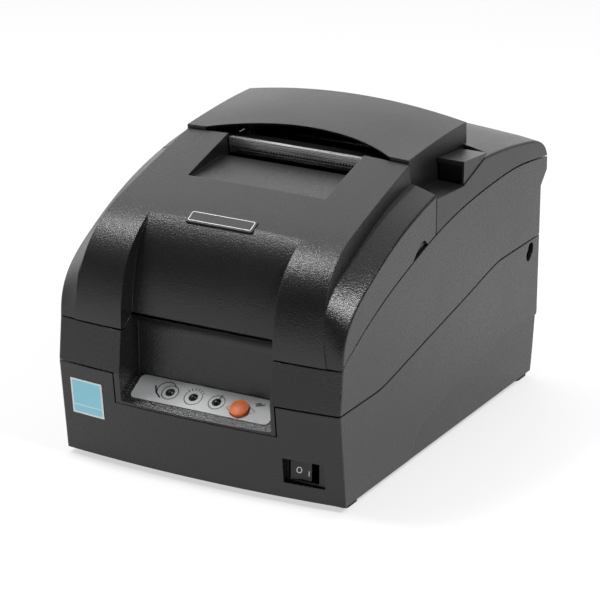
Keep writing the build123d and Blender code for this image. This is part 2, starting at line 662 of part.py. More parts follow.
def mechanism_frame():
    """Folded steel: a base, two side plates, the idler's stud and the front cross-member."""
    idler, motor = gear_axes()
    plate = [(30, FRAME_Z), (118, FRAME_Z), (118, 127), (100, 127), (60, 119), (38, 110), (30, 103)]
    half = PLATE_X + PLATE_T / 2
    frame = block((-half, half), (30, 118), (FRAME_Z, FRAME_Z + PLATE_T))
    for x in ((half - PLATE_T, half), (-half, PLATE_T - half)):
        frame += slab(plate, x)
    frame += block((-half, half), (30, 31.2), (FRAME_Z, 82.0))
    frame += block((-half, half), (30, 54), (80.8, 82.0))
    frame += block((-half, half), (102.6, 103.8), (FRAME_Z, 62.0))
    frame -= rod_x((-70, 70), FEED_AXIS, SHAFT_R + RUN_FIT)
    frame -= rod_x((60, 70), motor, 8.0)
    frame += rod_x((half - 0.2, GEAR_X[1] + 0.8), idler, 2.0)
    for x in (-PULLEY_X, PULLEY_X):
        frame -= rod_z(x, BELT_Y, (FRAME_Z - 1, FRAME_Z + 2), 3.0)
    for x, y in FRAME_LEGS:
        frame -= rod_z(x, y, (FRAME_Z - 1, FRAME_Z + 3), 1.8)
        frame += rod_z(x, y, (14.0, FRAME_Z + 0.2), 3.2) - rod_z(x, y, (13.0, FRAME_Z + 2), 1.3)
    return one(frame)


def guide_shaft():
    """The polished rod that the carriage slides on."""
    return rod_x((-PLATE_X + 0.6, PLATE_X - 0.6), GUIDE_AXIS, GUIDE_R)


def platen():
    """The bar behind the paper that the pins strike against."""
    bar = block((-44, 44), (PAPER_Y + 0.8, PAPER_Y + 7), (88, 101))
    return one(bar + block((-65.4, 65.4), (PAPER_Y + 2, PAPER_Y + 6), (90, 99)))


def carriage():
    """The slider on the guide shaft, with jaws that grip the belt."""
    body = block((-12, 12), (70, 88), (75.2, 86.0)) + block((-12, 12), (66, 72), (75.2, 82))
    clamp_y = (BELT_Y + BELT_INNER, BELT_Y + BELT_INNER + BELT_T)
    body += block((-7, 7), (clamp_y[0] + BELT_T + 0.3, 73), (70, 78))
    body += block((-7, 7), (clamp_y[0] - 2.0, 72), (BELT_Z[1] + 0.3, 78))
    body += block((-7, 7), (clamp_y[0] - 2.0, clamp_y[0] - 0.3), (70, 78))
    body += block((-9, 9), (60, 70), (82.0, 84.6)) + block((-12, 12), (64, 88), (82, 86))
    return one(body - rod_x((-20, 20), GUIDE_AXIS, GUIDE_R + RUN_FIT))


def print_head():
    """A finned cylinder on the carriage, with a flat nose up to the paper."""
    z = 96.8
    head = rod_y(0, (60, 80), z, 10.6)
    for fin in range(4):
        head -= rod_y(0, (61.5 + 4.2 * fin, 63.5 + 4.2 * fin), z, 12) - rod_y(0, (55, 90), z, 8.0)
    head += block((-6, 6), (79, 91.0), (z - 4, z + 4))
    head += block((-2.4, 2.4), (90, PAPER_Y - 1.4), (z - 3, z + 3))
    return one(head + block((-9, 9), (62, 84), (86.0, 90.0)))


def drive_belt():
    """The carriage's toothed belt, around both pulleys."""
    def loop(radius):
        z = (BELT_Z[0], BELT_Z[1])
        run = block((-PULLEY_X, PULLEY_X), (BELT_Y - radius, BELT_Y + radius), z)
        return run + rod_z(-PULLEY_X, BELT_Y, z, radius) + rod_z(PULLEY_X, BELT_Y, z, radius)

    return one(loop(BELT_INNER + BELT_T) - loop(BELT_INNER))


def pulley(x, motor):
    """A belt pulley with a flange above and below the belt."""
    wheel = rod_z(x, BELT_Y, (BELT_Z[0] - 0.6, BELT_Z[1] + 0.6), PULLEY_R)
    for z in ((BELT_Z[0] - 1.6, BELT_Z[0] - 0.4), (BELT_Z[1] + 0.4, BELT_Z[1] + 1.6)):
        wheel += rod_z(x, BELT_Y, z, BELT_INNER + BELT_T + 0.6)
    bore = 1.0 if motor else 2.0 + RUN_FIT
    return one(wheel - rod_z(x, BELT_Y, (BELT_Z[0] - 2, BELT_Z[1] + 2), bore))


def carriage_motor():
    """A round motor standing on the frame, with its shaft up through the pulley."""
    can = rod_z(-PULLEY_X, BELT_Y, (FRAME_Z + PLATE_T, 66.0), 10.5)
    return one(can + rod_z(-PULLEY_X, BELT_Y, (65, BELT_Z[1] + 1.2), 1.0 - RUN_FIT))


def idler_post():
    """The stepped post of the belt's idle pulley."""
    post = rod_z(PULLEY_X, BELT_Y, (FRAME_Z + PLATE_T, 66.6), 4.5)
    return one(post + rod_z(PULLEY_X, BELT_Y, (66, BELT_Z[1] + 2.4), 2.0))


def feed_motor():
    """A motor on the right side plate that turns the feed gears."""
    _, motor = gear_axes()
    can = rod_x((44, PLATE_X - PLATE_T / 2), motor, 12.0) + rod_x((64, 66.8), motor, 5.0)
    return one(can + rod_x((66, GEAR_X[1] - 0.4), motor, 1.0 - RUN_FIT))


def feed_shaft():
    """The shaft of the feed roller, through both side plates."""
    return rod_x((-68.4, GEAR_X[1] + 1.0), FEED_AXIS, SHAFT_R)


def feed_sleeves():
    """Three rubber sleeves on the feed shaft."""
    sleeves = []
    for x in (-27.0, 0.0, 27.0):
        span = (x - 8.0, x + 8.0)
        sleeves.append(one(rod_x(span, FEED_AXIS, FEED_R) - rod_x(span, FEED_AXIS, SHAFT_R)))
    return Compound(sleeves)


def pinch_roller():
    """The idle roller under the rear cover that holds the paper to the feed roller."""
    body = rod_x((-44, 44), PINCH_AXIS, 1.2)
    for x in (-27.0, 0.0, 27.0):
        body += rod_x((x - 7.0, x + 7.0), PINCH_AXIS, PINCH_R)
    return one(body)


def blade_holder():
    """The cross bar under the rear cover's mouth, with the arms of the pinch roller."""
    bar = block((-59.8, 59.8), (100.0, 107.0), (129.5, 140.0))
    bar += block((-38.0, 38.0), (99.9, 104.0), (137.0, 143.6))
    bar += block((-50.0, 50.0), (99.9, 112.5), (141.4, 143.6))
    for x in (-44.2, -14.0, 14.0, 44.2):
        y, z = PINCH_AXIS
        bar += block((x - 1.5, x + 1.5), (y - 2.4, y + 5.0), (z - 2.8, 131.0))
        bar += block((x - 1.5, x + 1.5), (y - 2.4, 103), (126, 131.0))
    bar -= rod_x((-44.4, 44.4), PINCH_AXIS, 1.2 + RUN_FIT)
    return one(bar)


def tear_blade():
    """A folded steel strip: a saw-toothed upper leaf over a plain lower one, joined at both ends."""
    front = SPLIT_Y - 1.0
    half = BLADE_TEETH * TOOTH_PITCH / 2
    outline = []
    for tooth in range(BLADE_TEETH):
        x = -half + tooth * TOOTH_PITCH
        outline += [(x, TOOTH_Z[1]), (x + TOOTH_PITCH / 2, TOOTH_Z[0])]
    outline += [(half, TOOTH_Z[1]), (half, BLADE_Z[1]), (-half, BLADE_Z[1])]
    edges = Polyline(*[(x, front, z) for x, z in outline], close=True)
    leaf = Solid.extrude(Face(Wire(edges.edges())), Vector(0, 0.9, 0))
    back = (front + 0.8, 99.9)
    blade = leaf + block((-half, half), back, (TOOTH_Z[1] + 0.4, BLADE_Z[1]))
    blade += block((-half, half), back, (BLADE_Z[0], TOOTH_Z[0] - 0.5))
    for x in ((-half, -half + 1.0), (half - 1.0, half)):
        blade += block(x, back, BLADE_Z)
    return one(blade)


def ribbon_cassette():
    """The ink ribbon's box, with an arm on each side of the print head."""
    box = block((-57, 57), (25, 52), (82.0, 98.0))
    for x in ((47.5, 57), (-57, -47.5)):
        box += block(x, (50, 87), (90.0, 98.0))
    box -= rod_z(*KNOB_AXIS, (92.0, 99.0), 7.3)
    box -= rod_z(*KNOB_AXIS, (84.0, 99.0), 3.0 + RUN_FIT)
    for x in ((48, 56.0), (-56.0, -48)):
        box -= block(x, (84.0, 88), (91.5, 96.5))
    return one(box)


def ink_ribbon():
    """The inked strip stretched between the cassette's arms, with the packs that leave them."""
    ribbon = block((-55.5, 55.5), (PAPER_Y - 1.15, PAPER_Y - 1.0), (91.6, 101.0))
    for pack in both_sides(block((47.8, 55.5), (85.0, PAPER_Y - 1.0), (91.8, 96.3))):
        ribbon += pack
    return one(ribbon)


def ribbon_knob():
    """The winding knob on top of the cassette, with a finger grip across it."""
    x, y = KNOB_AXIS
    knob = rod_z(x, y, (92.4, 103.5), 6.6) + rod_z(x, y, (85.0, 93.0), 3.0)
    knob += block((x - 1.2, x + 1.2), (y - 5.6, y + 5.6), (103.0, 107.0))
    return one(knob)


def paper_tub():
    """The open half-round bin that a 76 mm roll drops into."""
    y, z = ROLL_AXIS
    trough = rod_x((-TUB_X, TUB_X), ROLL_AXIS, TUB_R + TUB_T)
    trough -= rod_x((-TUB_X + TUB_T, TUB_X - TUB_T), ROLL_AXIS, TUB_R)
    trough &= block((-60, 60), (y - 60, y + 60), (z - 60, z + 8))
    for leg_x, leg_y in TUB_LEGS:
        leg = rod_z(leg_x, leg_y, (14.0, 58.0), 3.0)
        trough += leg - rod_x((-60, 60), ROLL_AXIS, TUB_R + 0.5)
    trough -= rod_x((TUB_X - 3, TUB_X + 3), NEAR_END_AXIS, 5.6)
    return one(trough)


def near_end_lever():
    """The small flap in the bin's right cheek that feels when the roll is nearly used up."""
    arm = rod_x((TUB_X - 3.2, TUB_X + 3.4), NEAR_END_AXIS, 1.5)
    flap = [(188.6, 60.0), (193.6, 59.0), (194.0, 64.5), (188.6, 63.6)]
    return one(arm + slab(flap, (TUB_X - 3.2, TUB_X - 2.2)))


def near_end_sensor():
    """The switch on the outside of the bin that the flap turns."""
    body = block((TUB_X + 0.3, TUB_X + 9.0), (184.0, 198.0), (55.0, 69.0))
    return one(body - rod_x((TUB_X, TUB_X + 4.0), NEAR_END_AXIS, 1.5 + RUN_FIT))


# ---- boards and sockets ----
def main_board():
    """The board on the floor of the case, with a clearance hole for each leg that passes it."""
    board = block((-66, 66), (32, 208), (BOARD_Z, BOARD_Z + 1.6))
    for x, y in FRAME_LEGS + TUB_LEGS:
        board -= rod_z(x, y, (BOARD_Z - 1, BOARD_Z + 3), 3.6)
    return one(board)


def board_parts():
    """Capacitors, a transformer and chips on the main board."""
    top = BOARD_Z + 1.6
    parts = [rod_z(x, y, (top, top + 16), 5.0) for x, y in ((-48, 160), (-34, 165), (40, 160))]
    parts.append(block((-10, 14), (150, 176), (top, top + 16)))
    for x, y in ((-30, 70), (15, 75), (-5, 110)):
        parts.append(block((x, x + 20), (y, y + 20), (top, top + 2)))
    return Compound(parts)


def power_inlet():
    """A round socket for the power supply's plug."""
    body = block((-57.6, -42.4), (202, 217.8), (BOARD_Z + 1.6, 27.8))
    body -= rod_y(-50, (210, 222), 20.6, 5.2)
    for x, z in ((-52, 22), (-48, 22), (-50, 18)):
        body += rod_y(x, (209, 212.5), z, 0.6)
    return one(body)


def interface_port():
    """A square data socket with its inner tongue."""
    body = block((-29.6, -13.4), (202, 217.8), (BOARD_Z + 1.6, 27.0))
    body -= block((-26.5, -16.5), (208, 222), (16.0, 25.4))
    return one(body + block((-24.5, -18.5), (207, 212), (19.2, 22.2)))


def drawer_port():
    """A keyed socket for a cash drawer's plug."""
    body = block((-1.6, 11.6), (204, 217.8), (BOARD_Z + 1.6, 27.0))
    body -= block((0.2, 9.8), (209, 222), (15.6, 22.6))
    return one(body - block((2.8, 7.2), (209, 222), (22.0, 25.2)))


def config_switches():
    """A block of four small slide switches in the rear wall."""
    body = block((30.4, 41.6), (206, 216.6), (BOARD_Z + 1.6, 24.0))
    for step in range(4):
        body += block((31.6 + 2.4 * step, 33.0 + 2.4 * step), (216, 217.8), (18.0, 20.0))
    return one(body)


# ---- small pieces ----
def rubber_feet():
    """Rounded pads under the four corners."""
    pad = extrude(RectangleRounded(14.0, 12.4, 2.5), FLOOR_Z)
    return Compound([one(Pos(x, y, 0) * pad) for x in (-69.0, 69.0) for y in (18.0, 209.4)])


def case_screws():
    """Four screws up through the lower case into the upper case's bosses."""
    screws = []
    for x in (-BOSS_X, BOSS_X):
        for y, top in ((18.0, 42.0), (205.0, 52.0)):
            screws.append(one(rod_z(x, y, (5.4, 8.0), 3.0) + rod_z(x, y, (7.8, top), 1.6)))
    return Compound(screws)


def rear_hinge_pins():
    """A pin through each pair of hinge lugs."""
    return Compound([rod_x((34.0, 58.0), REAR_HINGE, PIN_R), rod_x((-58.0, -34.0), REAR_HINGE, PIN_R)])


def front_sticker(outer):
    """A thin blank square that follows the curve of the front, on the left."""
    patch = (Pos(0, -STICKER_T, 0) * outer) & block((-71.5, -52.5), (-10, 20), (24.0, 43.0))
    return one(patch - outer)


def name_badge():
    """A blank raised plate on the front cover."""
    plate = extrude(RectangleRounded(37, 8.2, 1.2), 0.6, both=True)
    return one(Pos(-2.0, 28.6, 126.2) * Rot(26.0, 0, 0) * plate)


def rating_plate():
    """A blank plate on the underside."""
    return block((-30, 30), (90, 125), (FLOOR_Z - 0.3, FLOOR_Z))


def export(shapes):
    """One STEP file per node, moved to the printer's own origin."""
    os.makedirs("parts", exist_ok=True)
    for name, shape in shapes.items():
        export_step(Pos(0, -LENGTH_SHIFT, 0) * shape, f"parts/{name}.step")


def build():
    """Every piece of the printer under its node's name."""
    outer, inner = case_form(0), case_form(WALL)
    centre, centre_inner = [centre_form(CENTRE_SIDE, CENTRE_MID, wall) for wall in (0, WALL)]
    dome, dome_inner = [centre_form(DOME_SIDE, DOME_MID, wall) for wall in (0, WALL)]
    feed_gear, idler_gear, motor_pinion = gear_parts()
    return {
        "lower_case": lower_case(outer, inner),
        "upper_case": panel_holes(upper_case(outer, inner)),
        "front_cover": front_cover(outer, inner, centre, centre_inner),
        "rear_cover": rear_cover(outer, inner, dome, dome_inner),
        "cover_lever": cover_lever(),
        "latch_shaft": latch_shaft(),
        "latch_hooks": latch_hooks(),
        "rear_hinge_pins": rear_hinge_pins(),
        "tear_blade": tear_blade(),
        "blade_holder": blade_holder(),
        "pinch_roller": pinch_roller(),
        "panel_label": panel_label(),
        "status_lights": status_lights(),
        "feed_button": feed_button(),
        "panel_board": panel_board(),
        "power_switch": power_switch(),
        "power_rocker": power_rocker(),
        "mechanism_frame": mechanism_frame(),
        "guide_shaft": guide_shaft(),
        "platen": platen(),
        "carriage": carriage(),
        "print_head": print_head(),
        "drive_belt": drive_belt(),
        "motor_pulley": pulley(-PULLEY_X, True),
        "idler_pulley": pulley(PULLEY_X, False),
        "carriage_motor": carriage_motor(),
        "idler_post": idler_post(),
        "feed_motor": feed_motor(),
        "motor_pinion": motor_pinion,
        "idler_gear": idler_gear,
        "feed_gear": feed_gear,
        "feed_shaft": feed_shaft(),
        "feed_sleeves": feed_sleeves(),
        "ribbon_cassette": ribbon_cassette(),
        "ink_ribbon": ink_ribbon(),
        "ribbon_knob": ribbon_knob(),
        "paper_tub": paper_tub(),
        "near_end_lever": near_end_lever(),
        "near_end_sensor": near_end_sensor(),
        "main_board": main_board(),
        "board_parts": board_parts(),
        "power_inlet": power_inlet(),
        "interface_port": interface_port(),
        "drawer_port": drawer_port(),
        "config_switches": config_switches(),
        "rubber_feet": rubber_feet(),
        "case_screws": case_screws(),
        "front_sticker": front_sticker(outer),
        "name_badge": name_badge(),
        "rating_plate": rating_plate(),
    }


export(build())
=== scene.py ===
import json
import math

import bpy
from mathutils import Matrix, Vector
from mathutils.bvhtree import BVHTree


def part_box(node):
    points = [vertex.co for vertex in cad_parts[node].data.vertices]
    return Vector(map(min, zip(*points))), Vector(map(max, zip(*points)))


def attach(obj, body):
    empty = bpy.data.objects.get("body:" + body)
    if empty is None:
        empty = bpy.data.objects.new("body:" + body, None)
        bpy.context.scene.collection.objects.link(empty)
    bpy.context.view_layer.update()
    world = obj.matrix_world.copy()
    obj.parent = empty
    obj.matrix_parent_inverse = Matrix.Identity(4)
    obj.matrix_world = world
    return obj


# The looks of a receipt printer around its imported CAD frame. Metres, +X right, +Y to the rear, +Z up.

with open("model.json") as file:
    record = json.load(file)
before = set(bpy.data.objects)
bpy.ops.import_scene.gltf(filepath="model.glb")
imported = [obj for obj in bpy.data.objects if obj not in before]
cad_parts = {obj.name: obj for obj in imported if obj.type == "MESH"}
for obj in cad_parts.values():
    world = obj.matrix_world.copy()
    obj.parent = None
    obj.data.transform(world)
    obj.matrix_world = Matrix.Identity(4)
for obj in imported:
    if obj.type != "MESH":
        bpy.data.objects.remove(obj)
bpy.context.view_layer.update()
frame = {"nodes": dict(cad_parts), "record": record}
nodes = frame["nodes"]
MM = 0.001
Y_SHIFT = 114.14                  # mm from the CAD source's zero, at the front corners, to the frame's
TRAY_ANGLE = math.radians(28.7)   # slope of the control panel
TRAY_FOOT = (15.1, 45.9)          # (y, z) of its upper edge, mm
LABEL_TOP = 0.5                   # thickness of the label plate, mm
INK = 0.03                        # thickness of a printed layer, mm
SUNK = 0.005                      # how far a printed layer is let into its surface, mm
BADGE_TILT = math.radians(26.0)   # slope of the front cover at the badge
BRIGHT_SIDE = (-0.655, 0.605, 0.453)  # towards the bright side of the room: left, behind and above
ROOM, WINDOW = 0.08, 1.6          # radiance of the dim side and of the bright side


VIEW_TARGET = (-6.38, 0.86, 58.68)    # mm
VIEW_AZIMUTH, VIEW_ELEVATION, VIEW_ROLL = 28.66, 19.80, 0.37
VIEW_DISTANCE, LENS = 1.57407, 185.6  # m, mm
LIGHTS_AIM = (0, 0, 0.09)


# ---- camera, light and floor ----
def look_at(target, azimuth, elevation, roll, distance):
    """The camera's matrix for a direction given in degrees."""
    a, e, r = (math.radians(v) for v in (azimuth, elevation, roll))
    back = Vector((math.sin(a) * math.cos(e), -math.cos(a) * math.cos(e), math.sin(e)))
    right = Vector((math.cos(a), math.sin(a), 0))
    up = back.cross(right)
    turned_right = right * math.cos(r) + up * math.sin(r)
    turned_up = up * math.cos(r) - right * math.sin(r)
    axes = Matrix((turned_right, turned_up, back)).transposed()
    return Matrix.Translation(target + back * distance) @ axes.to_4x4()


def make_camera():
    data = bpy.data.cameras.new("photo_camera")
    data.sensor_width = 36
    data.lens = LENS
    data.clip_start, data.clip_end = 0.05, 30
    camera = bpy.data.objects.new("photo_camera", data)
    bpy.context.scene.collection.objects.link(camera)
    camera.matrix_world = look_at(
        Vector(VIEW_TARGET) * MM, VIEW_AZIMUTH, VIEW_ELEVATION, VIEW_ROLL, VIEW_DISTANCE)
    bpy.context.scene.camera = camera


def softbox(name, place, size, power):
    data = bpy.data.lights.new(name, "AREA")
    data.shape = "RECTANGLE"
    data.size, data.size_y = size
    data.energy = power
    light = bpy.data.objects.new(name, data)
    bpy.context.scene.collection.objects.link(light)
    light.location = place
    light.rotation_euler = (Vector(place) - Vector(LIGHTS_AIM)).to_track_quat("Z", "Y").to_euler()


def make_studio():
    """A room that brightens to the left, behind and above, with two small overhead softboxes."""
    world = bpy.data.worlds.new("studio")
    bpy.context.scene.world = world
    world.use_nodes = True
    tree = world.node_tree
    direction = tree.nodes.new("ShaderNodeTexCoord").outputs["Generated"]
    facing = tree.nodes.new("ShaderNodeVectorMath")
    facing.operation = "DOT_PRODUCT"
    facing.inputs[1].default_value = BRIGHT_SIDE
    tree.links.new(direction, facing.inputs[0])
    fade = tree.nodes.new("ShaderNodeMapRange")
    fade.interpolation_type = "SMOOTHSTEP"
    for key, value in (("From Min", 0.1), ("From Max", 1.0), ("To Min", ROOM), ("To Max", WINDOW)):
        fade.inputs[key].default_value = value
    tree.links.new(facing.outputs["Value"], fade.inputs["Value"])
    tree.links.new(fade.outputs["Result"], tree.nodes["Background"].inputs["Strength"])
    tree.nodes["Background"].inputs["Color"].default_value = (1.0, 1.0, 1.0, 1.0)
    softbox("softbox_left", (-0.50, -0.20, 1.07), (0.26, 0.26), 5)
    softbox("softbox_right", (0.74, -0.18, 1.02), (0.26, 0.26), 9)

    floor = mesh_piece("floor", [(-4, -4, 0), (4, -4, 0), (4, 4, 0), (-4, 4, 0)], [(0, 1, 2, 3)])
    paint = Paint("floor_paper", (0.42, 0.42, 0.42), 0.9, Specular_IOR_Level=0.1)
    paint.shader.inputs["Emission Color"].default_value = (1, 1, 1, 1)
    paint.shader.inputs["Emission Strength"].default_value = 0.58
    paint.vary_colour(paint.noise(900, 3), 0.985, 1.0)
    floor.data.materials.append(paint.material)
    bpy.context.scene.view_settings.view_transform = "Standard"


# ---- materials ----
class Paint:
    """A material around one Principled shader, built up from procedural layers in object space."""

    def __init__(self, name, colour, rough, metal=0.0, **constants):
        self.material = bpy.data.materials.new(name)
        self.material.use_nodes = True
        self.tree = self.material.node_tree
        self.shader = self.tree.nodes["Principled BSDF"]
        self.colour = colour
        self.shader.inputs["Base Color"].default_value = (*colour, 1)
        self.shader.inputs["Roughness"].default_value = rough
        self.shader.inputs["Metallic"].default_value = metal
        for key, value in constants.items():
            self.shader.inputs[key.replace("_", " ")].default_value = value
        self.place = self.tree.nodes.new("ShaderNodeTexCoord").outputs["Object"]
        self.normal = None

    def node(self, kind, **settings):
        made = self.tree.nodes.new(kind)
        for key, value in settings.items():
            setattr(made, key, value)
        return made

    def link(self, source, target):
        self.tree.links.new(source, target)

    def scaled(self, stretch):
        mapping = self.node("ShaderNodeMapping")
        mapping.inputs["Scale"].default_value = stretch
        self.link(self.place, mapping.inputs["Vector"])
        return mapping.outputs["Vector"]

    def noise(self, scale, detail=2.0, stretch=None):
        made = self.node("ShaderNodeTexNoise")
        made.inputs["Scale"].default_value = scale
        made.inputs["Detail"].default_value = detail
        self.link(self.scaled(stretch) if stretch else self.place, made.inputs["Vector"])
        return made.outputs["Fac"]

    def cells(self, scale, output="Distance", feature="F1"):
        made = self.node("ShaderNodeTexVoronoi", feature=feature)
        made.inputs["Scale"].default_value = scale
        self.link(self.place, made.inputs["Vector"])
        return made.outputs[output]

    def waves(self, scale, axis, profile="SIN", distortion=0.0):
        made = self.node("ShaderNodeTexWave", bands_direction=axis, wave_profile=profile)
        made.inputs["Scale"].default_value = scale
        made.inputs["Distortion"].default_value = distortion
        self.link(self.place, made.inputs["Vector"])
        return made.outputs["Fac"]

    def spread(self, source, low, high, start=0.0, end=1.0):
        """source from start..end spread over low..high."""
        made = self.node("ShaderNodeMapRange")
        for key, value in (("From Min", start), ("From Max", end), ("To Min", low), ("To Max", high)):
            made.inputs[key].default_value = value
        self.link(source, made.inputs["Value"])
        return made.outputs["Result"]

    def combine(self, first, second, operation="MULTIPLY"):
        made = self.node("ShaderNodeMath", operation=operation)
        self.link(first, made.inputs[0])
        self.link(second, made.inputs[1])
        return made.outputs[0]

    def vary_colour(self, source, low, high, tint=None):
        """The base colour times low..high, or from the base colour to tint."""
        made = self.node("ShaderNodeMix", data_type="RGBA")
        first = [channel * low for channel in self.colour]
        second = tint or [min(1.0, channel * high) for channel in self.colour]
        made.inputs["A"].default_value = (*first, 1)
        made.inputs["B"].default_value = (*second, 1)
        self.link(source, made.inputs["Factor"])
        self.link(made.outputs["Result"], self.shader.inputs["Base Color"])

    def vary_rough(self, source, low, high, start=0.3, end=0.7):
        self.link(self.spread(source, low, high, start, end), self.shader.inputs["Roughness"])

    def round_edges(self, radius):
        made = self.node("ShaderNodeBevel", samples=4)
        made.inputs["Radius"].default_value = radius
        self.normal = made.outputs["Normal"]
        self.link(self.normal, self.shader.inputs["Normal"])

    def bump(self, source, depth):
        """Adds relief of that depth in metres."""
        made = self.node("ShaderNodeBump")
        made.inputs["Distance"].default_value = depth
        self.link(source, made.inputs["Height"])
        if self.normal:
            self.link(self.normal, made.inputs["Normal"])
        self.normal = made.outputs["Normal"]
        self.link(self.normal, self.shader.inputs["Normal"])


def moulded(name, colour, rough=0.29, grain=0.00005, edge=0.0007):
    """Spark-textured moulded plastic: fine grain, a coarser orange peel and faint smudges."""
    paint = Paint(name, colour, rough, Specular_IOR_Level=0.45)
    if edge:
        paint.round_edges(edge)
    fine = paint.noise(2100, 2.0)
    coarse = paint.noise(1400, 1.0)
    smudge = paint.noise(16, 4.0)
    paint.vary_colour(paint.combine(fine, smudge), 0.82, 1.5)
    paint.vary_rough(paint.combine(smudge, coarse, "ADD"), rough - 0.05, rough + 0.07, 0.7, 1.3)
    paint.bump(coarse, grain * 3)
    paint.bump(fine, grain)
    return paint.material


def smooth_plastic(name, colour, rough, **constants):
    paint = Paint(name, colour, rough, **constants)
    haze = paint.noise(40, 4.0)
    specks = paint.noise(2200, 2.0)
    paint.vary_colour(haze, 0.9, 1.1)
    paint.vary_rough(haze, rough * 0.8, rough * 1.25)
    paint.bump(specks, 0.00001)
    return paint.material


def brushed(name, colour, rough, stretch=(30, 900, 2600), depth=0.000008):
    paint = Paint(name, colour, rough, metal=1.0)
    lines = paint.noise(1.0, 3.0, stretch=stretch)
    stain = paint.noise(60, 3.0)
    paint.vary_colour(paint.combine(lines, stain, "ADD"), 0.72, 1.12)
    paint.vary_rough(lines, rough * 0.7, rough * 1.5)
    paint.bump(lines, depth)
    return paint.material


def zinc_plate(name, colour):
    paint = Paint(name, colour, 0.35, metal=1.0)
    flakes = paint.cells(350, "Color")
    paint.vary_colour(flakes, 0.78, 1.1)
    paint.vary_rough(paint.noise(200, 3.0), 0.28, 0.46)
    paint.bump(paint.noise(700, 2.0), 0.000015)
    return paint.material


def cast_metal(name, colour):
    paint = Paint(name, colour, 0.42, metal=1.0)
    paint.vary_colour(paint.noise(300, 4.0), 0.75, 1.1)
    paint.vary_rough(paint.noise(900, 3.0), 0.36, 0.52)
    paint.bump(paint.noise(1100, 3.0), 0.00004)
    return paint.material


def rubber(name, colour):
    paint = Paint(name, colour, 0.75, Specular_IOR_Level=0.35)
    dust = paint.noise(70, 5.0)
    paint.vary_colour(dust, 0.8, 1.3, tint=(colour[0] + 0.03,) * 3)
    paint.vary_rough(dust, 0.66, 0.86)
    paint.bump(paint.noise(1600, 2.0), 0.00004)
    return paint.material


def circuit(name, colour):
    """Solder mask over copper tracks, which stand a little proud and lighter."""
    paint = Paint(name, colour, 0.32, Coat_Weight=0.25, Coat_Roughness=0.2)
    grid = paint.combine(paint.waves(95, "X", "SAW", 6.0), paint.waves(80, "Y", "SAW", 7.0))
    tracks = paint.spread(grid, 0.0, 1.0, 0.30, 0.36)
    paint.vary_colour(tracks, 0.75, 1.0, tint=(colour[0] * 2.2, colour[1] * 1.55, colour[2] * 1.9))
    paint.bump(tracks, 0.00003)
    paint.bump(paint.noise(2500, 2.0), 0.000004)
    return paint.material


def inked_cloth(name, colour):
    paint = Paint(name, colour, 0.8, Sheen_Weight=0.3)
    weave = paint.combine(paint.waves(2600, "X"), paint.waves(2600, "Z"))
    paint.vary_colour(weave, 0.6, 1.6)
    paint.bump(weave, 0.00003)
    return paint.material


def satin_film(name, colour, rough=0.33):
    """Printed film: fine metallic flake under a satin coat."""
    paint = Paint(name, colour, rough, Coat_Weight=0.3, Coat_Roughness=0.25)
    paint.vary_colour(paint.noise(3000, 2.0), 0.94, 1.05)
    paint.vary_rough(paint.noise(50, 4.0), rough - 0.04, rough + 0.08)
    paint.bump(paint.noise(1800, 2.0), 0.000008)
    return paint.material


def make_materials():
    case = (0.0095, 0.0095, 0.0098)
    return {
        "case": moulded("case_plastic", case),
        "dome": moulded("cover_plastic", case, rough=0.38),
        "lever": moulded("lever_plastic", case, rough=0.40, edge=0.0003),
        "black": moulded("black_plastic", (0.005, 0.005, 0.0055), rough=0.32, grain=0.00002, edge=0.0),
        "white_plastic": smooth_plastic("acetal", (0.72, 0.71, 0.67), 0.35, Subsurface_Weight=0.1),
        "cassette": moulded("cassette_plastic", (0.014, 0.014, 0.016), rough=0.4, edge=0.0002),
        "knob": smooth_plastic("knob_plastic", (0.10, 0.16, 0.24), 0.4),
        "button": smooth_plastic("orange_plastic", (0.86, 0.15, 0.012), 0.45, Subsurface_Weight=0.12),
        "lights": smooth_plastic("smoked_lens", (0.004, 0.004, 0.005), 0.3, Specular_IOR_Level=0.4),
        "label": satin_film("label_film", (0.38, 0.39, 0.395)),
        "sticker": satin_film("sticker_film", (0.78, 0.82, 0.83), 0.3),
        "badge": smooth_plastic("badge_gloss", (0.008, 0.008, 0.009), 0.16, Coat_Weight=0.4),
        "switches": smooth_plastic("switch_block", (0.45, 0.05, 0.04), 0.35),
        "board": circuit("circuit_board", (0.012, 0.10, 0.035)),
        "chips": moulded("chip_epoxy", (0.012, 0.012, 0.012), rough=0.5, grain=0.00002, edge=0.0),
        "rubber": rubber("black_rubber", (0.014, 0.014, 0.014)),
        "ribbon": inked_cloth("inked_nylon", (0.012, 0.008, 0.02)),
        "steel": brushed("turned_steel", (0.58, 0.58, 0.59), 0.28, stretch=(2600, 300, 300)),
        "blade": brushed("blade_steel", (0.80, 0.80, 0.81), 0.24),
        "steel_port": brushed("plated_shell", (0.66, 0.66, 0.66), 0.3, stretch=(300, 300, 1500)),
        "zinc": zinc_plate("zinc_plate", (0.58, 0.59, 0.60)),
        "head": cast_metal("cast_alloy", (0.42, 0.43, 0.44)),
        "brass": brushed("turned_brass", (0.78, 0.56, 0.24), 0.27, stretch=(2000, 300, 300)),
        "ink": smooth_plastic("printed_ink", (0.006, 0.006, 0.007), 0.4),
        "white_ink": smooth_plastic("white_ink", (0.82, 0.82, 0.80), 0.45),
        "blue_ink": smooth_plastic("blue_ink", (0.28, 0.66, 0.80), 0.35),
    }


# ---- mesh helpers ----
def mesh_piece(name, points, faces):
    mesh = bpy.data.meshes.new(name)
    mesh.from_pydata([Vector(point) for point in points], [], faces)
    mesh.update()
    piece = bpy.data.objects.new(name, mesh)
    bpy.context.scene.collection.objects.link(piece)
    return piece


